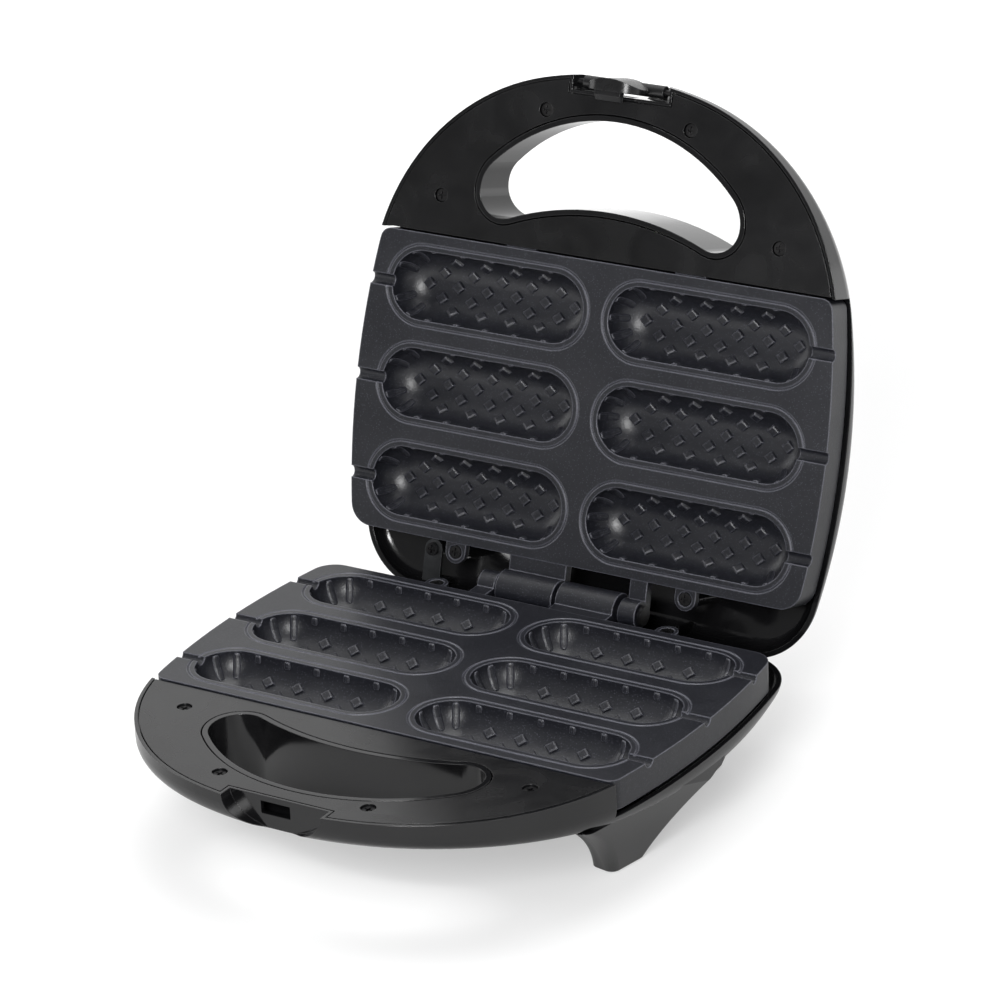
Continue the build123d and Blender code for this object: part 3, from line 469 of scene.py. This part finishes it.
# Heat shields: pressed dishes of aluminised sheet between the casting and the shell, bright and
# spangled. Each is screwed to the middle posts of its casting.
shield_sheet = drawn_metal("pressed_aluminised_sheet", "b9bcbd", "8e8f8d", 0.32, 0.7 * mm)
dress(shield_sheet, "lower_heat_shield", "upper_heat_shield")

# Thermostats and the fuse: small pressed cases of nickel-plated steel that sit on the underside
# of the cavities. The plating is warm in tone, with a soft shine.
case_nickel = drawn_metal("nickel_plated_case", "b5aea3", "857e74", 0.24, 0.3 * mm)
dress(case_nickel, "lower_thermostat", "upper_thermostat", "thermal_fuse")

# Shield screws: small zinc-plated screws that hold the dishes to the castings, bright with fine
# turning marks.
bright_zinc = drawn_metal("zinc_plated_steel", "c2c3c1", "989a9b", 0.22, 0.25 * mm)
dress(bright_zinc, "lower_shield_screws", "upper_shield_screws")

# Screws in sight, hinge pin, its clip and the catch pin: carbon steel blackened in an oxide
# bath, so they show dark with a dull shine that is rubbed lighter on the edges.
black_oxide = drawn_metal("black_oxide_steel", "1f1f21", "3b3a3a", 0.36, 0.3 * mm, metallic=0.8)
dress(
    black_oxide,
    "base_cover_screws",
    "lid_cover_screws",
    "lower_ear_screws",
    "upper_ear_screws",
    "bracket_screw",
    "hinge_pin",
    "hinge_pin_clip",
    "latch_pin",
)

# Lead bracket: pressed steel sheet with a dark grey phosphate skin, duller than the pins. It is
# screwed to the lid beside the hinge, where the leads pass.
phosphated = drawn_metal("pressed_phosphated_bracket", "4a4b4d", "37383a", 0.46, 0.9 * mm)
dress(phosphated, "lead_bracket")

# Terminal block and lamp holder: moulded glass-filled nylon, pale with a dull skin. The block
# stands on the floor of the base's rear bay, and the holder sits on two posts in the lid.
block_nylon = moulded(
    "moulded_glass_filled_nylon",
    face="cfcbc0",
    worn="b1ab9c",
    roughness=0.48,
    flow=12 * mm,
    smudge=6 * mm,
    grain=0.7 * mm,
    grain_height=0.02 * mm,
    edge=0.3 * mm,
)
dress(block_nylon, "terminal_block", "lamp_holder")

# Cord gland: soft black rubber bush pushed into the rear outlet, with a matt skin that takes up
# a little dust.
gland_rubber = moulded(
    "moulded_gland_rubber",
    face="151516",
    worn="333231",
    roughness=0.58,
    flow=8 * mm,
    smudge=5 * mm,
    grain=0.6 * mm,
    grain_height=0.02 * mm,
    edge=0.3 * mm,
)
dress(gland_rubber, "cord_gland")

# Lamp lenses: clear tinted polycarbonate caps, set in the lid over its two lamps. They take in
# light and show it in their own colour, with a faint frosting from the mould.
lens_tints = {"power_lamp_lens": "d3161a", "ready_lamp_lens": "1fae3c"}
lens_milk = "f4efe8"
lens_milk_share = 0.12
lens_frost = 0.6 * mm
lens_frost_height = 0.01 * mm
lens_cloud = 3 * mm
lens_roughness = (0.08, 0.2)
lens_clearness = 0.45
polycarbonate_ior = 1.58
for name, tint in lens_tints.items():
    lens, tree, shader, place = start_material(f"tinted_polycarbonate_{name}")
    frost = add_node(tree, "ShaderNodeTexNoise", {"Vector": place, "Scale": 1 / lens_frost, "Detail": 2})
    cloud = add_node(tree, "ShaderNodeTexNoise", {"Vector": place, "Scale": 1 / lens_cloud, "Detail": 2})
    milk = add_node(
        tree, "ShaderNodeMapRange", {"Value": cloud.outputs["Fac"], "To Max": lens_milk_share}
    )
    colour = add_node(
        tree,
        "ShaderNodeMix",
        {"Factor": milk.outputs["Result"], "A": linear(tint), "B": linear(lens_milk)},
        data_type="RGBA",
    )
    bump = add_node(
        tree, "ShaderNodeBump", {"Height": frost.outputs["Fac"], "Distance": lens_frost_height}
    )
    gloss = add_node(
        tree,
        "ShaderNodeMapRange",
        {"Value": frost.outputs["Fac"], "To Min": lens_roughness[0], "To Max": lens_roughness[1]},
    )
    shader.inputs["IOR"].default_value = polycarbonate_ior
    shader.inputs["Transmission Weight"].default_value = lens_clearness
    skin(tree, shader, colour, gloss, bump)
    dress(lens, name)

# Lid shell: the same polished moulding as the base, without legs. It is screwed to the upper
# casting, which hangs on the hinge pin.
dress(gloss_shell, "lid_shell")

# Clip: moulded in the same black plastic as the shells. It turns on its pin in the lid's tip and
# is handled most, so it is a little duller.
clip_plastic = moulded(
    "handled_moulded_clip",
    face="0d0d0e",
    worn="303032",
    roughness=0.22,
    flow=20 * mm,
    smudge=9 * mm,
    grain=0.8 * mm,
    grain_height=0.01 * mm,
    edge=0.4 * mm,
)
dress(clip_plastic, "latch_clip")

# Floor: a pale table that carries the soft shadow. The camera sees it lifted towards white, and
# further off it is white in reflections too, so that it fades into the studio.
floor_colour = "bcbcbc"
floor_half_width = 6
floor_lift = 0.42
floor_white_starts = 0.25
floor_white_full = 1.1
mesh = bmesh.new()
bmesh.ops.create_grid(mesh, x_segments=1, y_segments=1, size=floor_half_width)
data = bpy.data.meshes.new("floor")
mesh.to_mesh(data)
mesh.free()
floor = bpy.data.objects.new("floor", data)
bpy.context.scene.collection.objects.link(floor)
floor_paint, tree, shader, place = start_material("matt_white_floor")
shader.inputs["Base Color"].default_value = linear(floor_colour)
shader.inputs["Roughness"].default_value = 0.9
shader.inputs["Emission Color"].default_value = linear("ffffff")
paths = add_node(tree, "ShaderNodeLightPath").outputs
mirrored = add_node(
    tree, "ShaderNodeMath", {0: paths["Is Glossy Ray"], 1: paths["Is Transmission Ray"]}, operation="ADD"
).outputs["Value"]
seen = add_node(
    tree, "ShaderNodeMath", {0: paths["Is Camera Ray"], 1: mirrored}, operation="ADD"
).outputs["Value"]
distance = add_node(tree, "ShaderNodeVectorMath", {0: place}, operation="LENGTH").outputs["Value"]
far = add_node(
    tree,
    "ShaderNodeMapRange",
    {"Value": distance, "From Min": floor_white_starts, "From Max": floor_white_full},
).outputs["Result"]
near = add_node(
    tree, "ShaderNodeMath", {0: paths["Is Camera Ray"], 1: floor_lift}, operation="MULTIPLY"
).outputs["Value"]
glow = add_node(tree, "ShaderNodeMath", {0: far, 1: near}, operation="MAXIMUM").outputs["Value"]
lift = add_node(tree, "ShaderNodeMath", {0: seen, 1: glow}, operation="MULTIPLY")
tree.links.new(lift.outputs["Value"], shader.inputs["Emission Strength"])
data.materials.append(floor_paint)

# Studio: a wide soft box above, a tall one at the left, and a small one in front for the
# highlights in the cavities. The surround is white behind the object and dim in front of it, and
# the camera sees it white all round. Its pairs are a heading along Y and the strength there. A
# lamp has its place, what it is aimed at, its width, its height and its power in watts.
surround_front = (-0.5, 0.2)
surround_rear = (0.7, 1)
world = bpy.data.worlds.new("studio")
bpy.context.scene.world = world
world.use_nodes = True
tree = world.node_tree
surround = tree.nodes["Background"]
heading = add_node(tree, "ShaderNodeTexCoord").outputs["Generated"]
rearward = add_node(tree, "ShaderNodeSeparateXYZ", {"Vector": heading}).outputs["Y"]
level = add_node(
    tree,
    "ShaderNodeMapRange",
    {
        "Value": rearward,
        "From Min": surround_front[0],
        "From Max": surround_rear[0],
        "To Min": surround_front[1],
        "To Max": surround_rear[1],
    },
)
seen = add_node(tree, "ShaderNodeLightPath").outputs["Is Camera Ray"]
shown = add_node(tree, "ShaderNodeMath", {0: level.outputs["Result"], 1: seen}, operation="MAXIMUM")
surround.inputs["Color"].default_value = linear("ffffff")
tree.links.new(shown.outputs["Value"], surround.inputs["Strength"])

lamps = {
    "top_box": ((0.0, 0.25, 1.7), (0, 0, 0.1), 1.3, 1.3, 16),
    "left_box": ((-1.6, -0.3, 0.9), (0, 0, 0.1), 0.7, 1.4, 8),
    "front_box": ((0.5, -1.29, 0.8), (0, 0.08, 0.15), 0.5, 0.5, 24),
}
for name, (place, target, width, height, power) in lamps.items():
    light = bpy.data.lights.new(name, "AREA")
    light.shape = "RECTANGLE"
    light.size = width
    light.size_y = height
    light.energy = power
    lamp = bpy.data.objects.new(name, light)
    bpy.context.scene.collection.objects.link(lamp)
    aim = Vector(target) - Vector(place)
    lamp.matrix_world = Matrix.Translation(place) @ aim.to_track_quat("-Z", "Y").to_matrix().to_4x4()

# Camera: above and to the right of the front, with a long lens.
camera_place = Vector((0.88798, -1.36392, 0.80587))
camera_yaw = math.radians(32.575)
camera_pitch = math.radians(-22.766)
camera_roll = math.radians(-2.679)
camera_lens = 161.486
camera_sensor = 36
camera_far_end = 50

camera_data = bpy.data.cameras.new("camera")
camera_data.lens = camera_lens
camera_data.sensor_width = camera_sensor
camera_data.clip_end = camera_far_end
camera = bpy.data.objects.new("camera", camera_data)
bpy.context.scene.collection.objects.link(camera)
ahead = Vector(
    (
        -math.sin(camera_yaw) * math.cos(camera_pitch),
        math.cos(camera_yaw) * math.cos(camera_pitch),
        math.sin(camera_pitch),
    )
)
right = Vector((math.cos(camera_yaw), math.sin(camera_yaw), 0))
above = right.cross(ahead)
rolled_right = math.cos(camera_roll) * right + math.sin(camera_roll) * above
rolled_above = -math.sin(camera_roll) * right + math.cos(camera_roll) * above
turned = Matrix((rolled_right, rolled_above, -ahead)).transposed().to_4x4()
camera.matrix_world = Matrix.Translation(camera_place) @ turned
bpy.context.scene.camera = camera
bpy.context.scene.view_settings.view_transform = "Standard"
